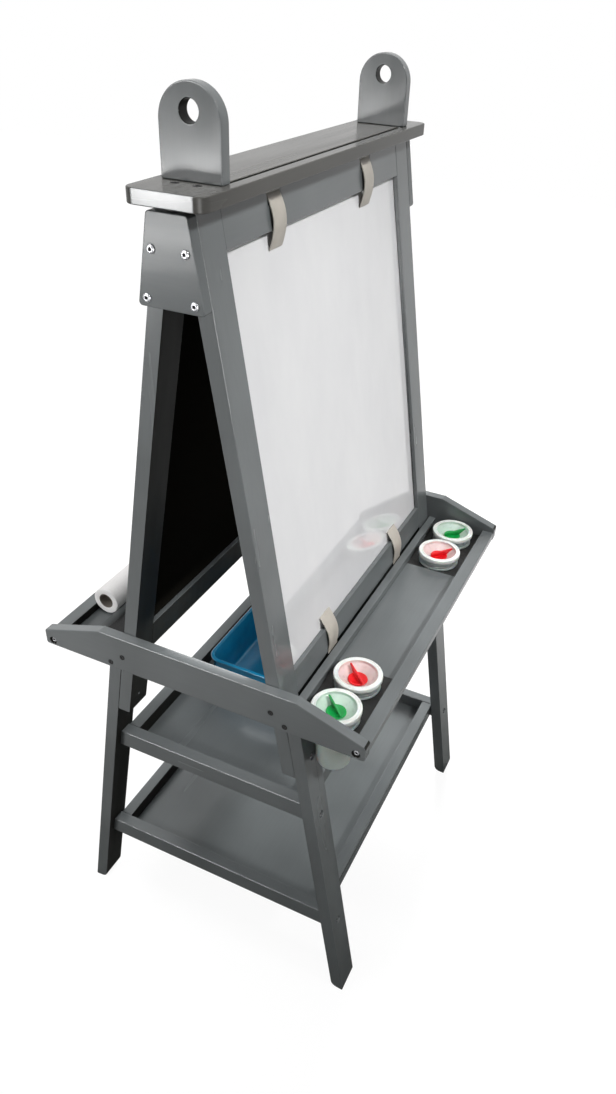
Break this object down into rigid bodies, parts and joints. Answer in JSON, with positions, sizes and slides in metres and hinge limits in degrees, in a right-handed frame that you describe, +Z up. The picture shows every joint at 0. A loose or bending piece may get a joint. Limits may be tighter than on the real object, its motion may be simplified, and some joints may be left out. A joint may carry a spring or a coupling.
{
  "type": "kids easel",
  "caption": "Two-sided A-frame easel for children with a whiteboard, a chalkboard, side trays with lidded paint cups, two shelves, a bin and a paper roll.",
  "frame": {"origin": "centre of the bounding box on the floor", "axes": "+Z up, +X along the boards towards the far end, -Y out of the whiteboard side, +Y out of the chalkboard side"},
  "size_m": [0.596, 0.4898, 1.257],
  "materials": {
    "grey_paint": "grey gloss paint over wood",
    "dark_grey_paint": "dark grey gloss paint over wood",
    "whiteboard": "glossy dry-wipe face",
    "chalkboard": "matte chalkboard paint",
    "black_plastic": "matte black",
    "bolt_chrome": "bright plated",
    "screw_black": "black finish",
    "clear_plastic": "frosted translucent",
    "white_plastic": "smooth white",
    "red_plastic": "smooth red",
    "green_plastic": "smooth green",
    "clip_beige": "satin beige-grey",
    "paper": "plain white paper",
    "cardboard": "plain brown board",
    "blue_plastic": "glossy dark blue"
  },
  "bodies": {
    "easel_frame": {"top_board": "grey_paint", "roll_ear_near": "grey_paint", "roll_ear_far": "grey_paint", "end_plate_near": "grey_paint", "end_plate_far": "grey_paint", "front_stile_near": "grey_paint", "front_stile_far": "grey_paint", "front_top_rail": "grey_paint", "front_bottom_rail": "grey_paint", "whiteboard": "whiteboard", "back_stile_near": "grey_paint", "back_stile_far": "grey_paint", "back_top_rail": "dark_grey_paint", "back_bottom_rail": "dark_grey_paint", "chalkboard": "chalkboard", "side_rail_near": "grey_paint", "side_rail_far": "grey_paint", "front_tray_inner_rail": "grey_paint", "front_tray_outer_rail": "grey_paint", "front_tray_floor": "grey_paint", "cup_holder_near": "black_plastic", "cup_holder_far": "black_plastic", "back_tray_inner_rail": "grey_paint", "back_tray_outer_rail": "grey_paint", "back_tray_floor": "grey_paint", "front_leg_near": "grey_paint", "front_leg_far": "grey_paint", "back_leg_near": "grey_paint", "back_leg_far": "grey_paint", "upper_shelf_end_near": "grey_paint", "upper_shelf_end_far": "grey_paint", "upper_shelf_front_rail": "grey_paint", "upper_shelf_back_rail": "grey_paint", "upper_shelf_panel": "grey_paint", "lower_shelf_end_near": "grey_paint", "lower_shelf_end_far": "grey_paint", "lower_shelf_front_rail": "grey_paint", "lower_shelf_back_rail": "grey_paint", "lower_shelf_panel": "grey_paint", "button_bolts": "bolt_chrome", "countersunk_screws": "screw_black"},
    "near_red_cup": {"near_red_cup": "clear_plastic"},
    "near_red_lid": {"near_red_lid": "white_plastic"},
    "near_red_stopper": {"near_red_stopper": "red_plastic"},
    "near_green_cup": {"near_green_cup": "clear_plastic"},
    "near_green_lid": {"near_green_lid": "white_plastic"},
    "near_green_stopper": {"near_green_stopper": "green_plastic"},
    "far_red_cup": {"far_red_cup": "clear_plastic"},
    "far_red_lid": {"far_red_lid": "white_plastic"},
    "far_red_stopper": {"far_red_stopper": "red_plastic"},
    "far_green_cup": {"far_green_cup": "clear_plastic"},
    "far_green_lid": {"far_green_lid": "white_plastic"},
    "far_green_stopper": {"far_green_stopper": "green_plastic"},
    "top_clip_near": {"top_clip_near": "clip_beige"},
    "top_clip_far": {"top_clip_far": "clip_beige"},
    "bottom_clip_near": {"bottom_clip_near": "clip_beige"},
    "bottom_clip_far": {"bottom_clip_far": "clip_beige"},
    "paper_roll": {"paper_roll": "paper", "roll_core": "cardboard"},
    "storage_bin": {"storage_bin": "blue_plastic"}
  },
  "joints": [
    {"name": "near_red_cup_lift", "type": "slide", "parent": "easel_frame", "child": "near_red_cup", "axis": [0, 0, 1], "range_m": [0, 0.12]},
    {"name": "near_red_lid_lift", "type": "slide", "parent": "near_red_cup", "child": "near_red_lid", "axis": [0, 0, 1], "range_m": [0, 0.03]},
    {"name": "near_red_stopper_lift", "type": "slide", "parent": "near_red_lid", "child": "near_red_stopper", "axis": [0, 0, 1], "range_m": [0, 0.025]},
    {"name": "near_green_cup_lift", "type": "slide", "parent": "easel_frame", "child": "near_green_cup", "axis": [0, 0, 1], "range_m": [0, 0.12]},
    {"name": "near_green_lid_lift", "type": "slide", "parent": "near_green_cup", "child": "near_green_lid", "axis": [0, 0, 1], "range_m": [0, 0.03]},
    {"name": "near_green_stopper_lift", "type": "slide", "parent": "near_green_lid", "child": "near_green_stopper", "axis": [0, 0, 1], "range_m": [0, 0.025]},
    {"name": "far_red_cup_lift", "type": "slide", "parent": "easel_frame", "child": "far_red_cup", "axis": [0, 0, 1], "range_m": [0, 0.12]},
    {"name": "far_red_lid_lift", "type": "slide", "parent": "far_red_cup", "child": "far_red_lid", "axis": [0, 0, 1], "range_m": [0, 0.03]},
    {"name": "far_red_stopper_lift", "type": "slide", "parent": "far_red_lid", "child": "far_red_stopper", "axis": [0, 0, 1], "range_m": [0, 0.025]},
    {"name": "far_green_cup_lift", "type": "slide", "parent": "easel_frame", "child": "far_green_cup", "axis": [0, 0, 1], "range_m": [0, 0.12]},
    {"name": "far_green_lid_lift", "type": "slide", "parent": "far_green_cup", "child": "far_green_lid", "axis": [0, 0, 1], "range_m": [0, 0.03]},
    {"name": "far_green_stopper_lift", "type": "slide", "parent": "far_green_lid", "child": "far_green_stopper", "axis": [0, 0, 1], "range_m": [0, 0.025]},
    {"name": "top_clip_near_flex", "type": "hinge", "parent": "easel_frame", "child": "top_clip_near", "pos_m": [-0.125, -0.02238, 1.14784], "axis": [-1, 0, 0], "range_deg": [0, 15], "stiffness_Nm_per_rad": 0.2, "springref_deg": -5.73},
    {"name": "top_clip_far_flex", "type": "hinge", "parent": "easel_frame", "child": "top_clip_far", "pos_m": [0.125, -0.02238, 1.14784], "axis": [-1, 0, 0], "range_deg": [0, 15], "stiffness_Nm_per_rad": 0.2, "springref_deg": -5.73},
    {"name": "bottom_clip_near_flex", "type": "hinge", "parent": "easel_frame", "child": "bottom_clip_near", "pos_m": [-0.125, -0.12368, 0.55771], "axis": [1, 0, 0], "range_deg": [0, 15], "stiffness_Nm_per_rad": 0.2, "springref_deg": -5.73},
    {"name": "bottom_clip_far_flex", "type": "hinge", "parent": "easel_frame", "child": "bottom_clip_far", "pos_m": [0.125, -0.12368, 0.55771], "axis": [1, 0, 0], "range_deg": [0, 15], "stiffness_Nm_per_rad": 0.2, "springref_deg": -5.73},
    {"name": "roll_lift", "type": "slide", "parent": "easel_frame", "child": "paper_roll", "axis": [0, 0, 1], "range_m": [0, 0.12]},
    {"name": "bin_lift", "type": "slide", "parent": "easel_frame", "child": "storage_bin", "axis": [0, 0, 1], "range_m": [0, 0.045]}
  ]
}
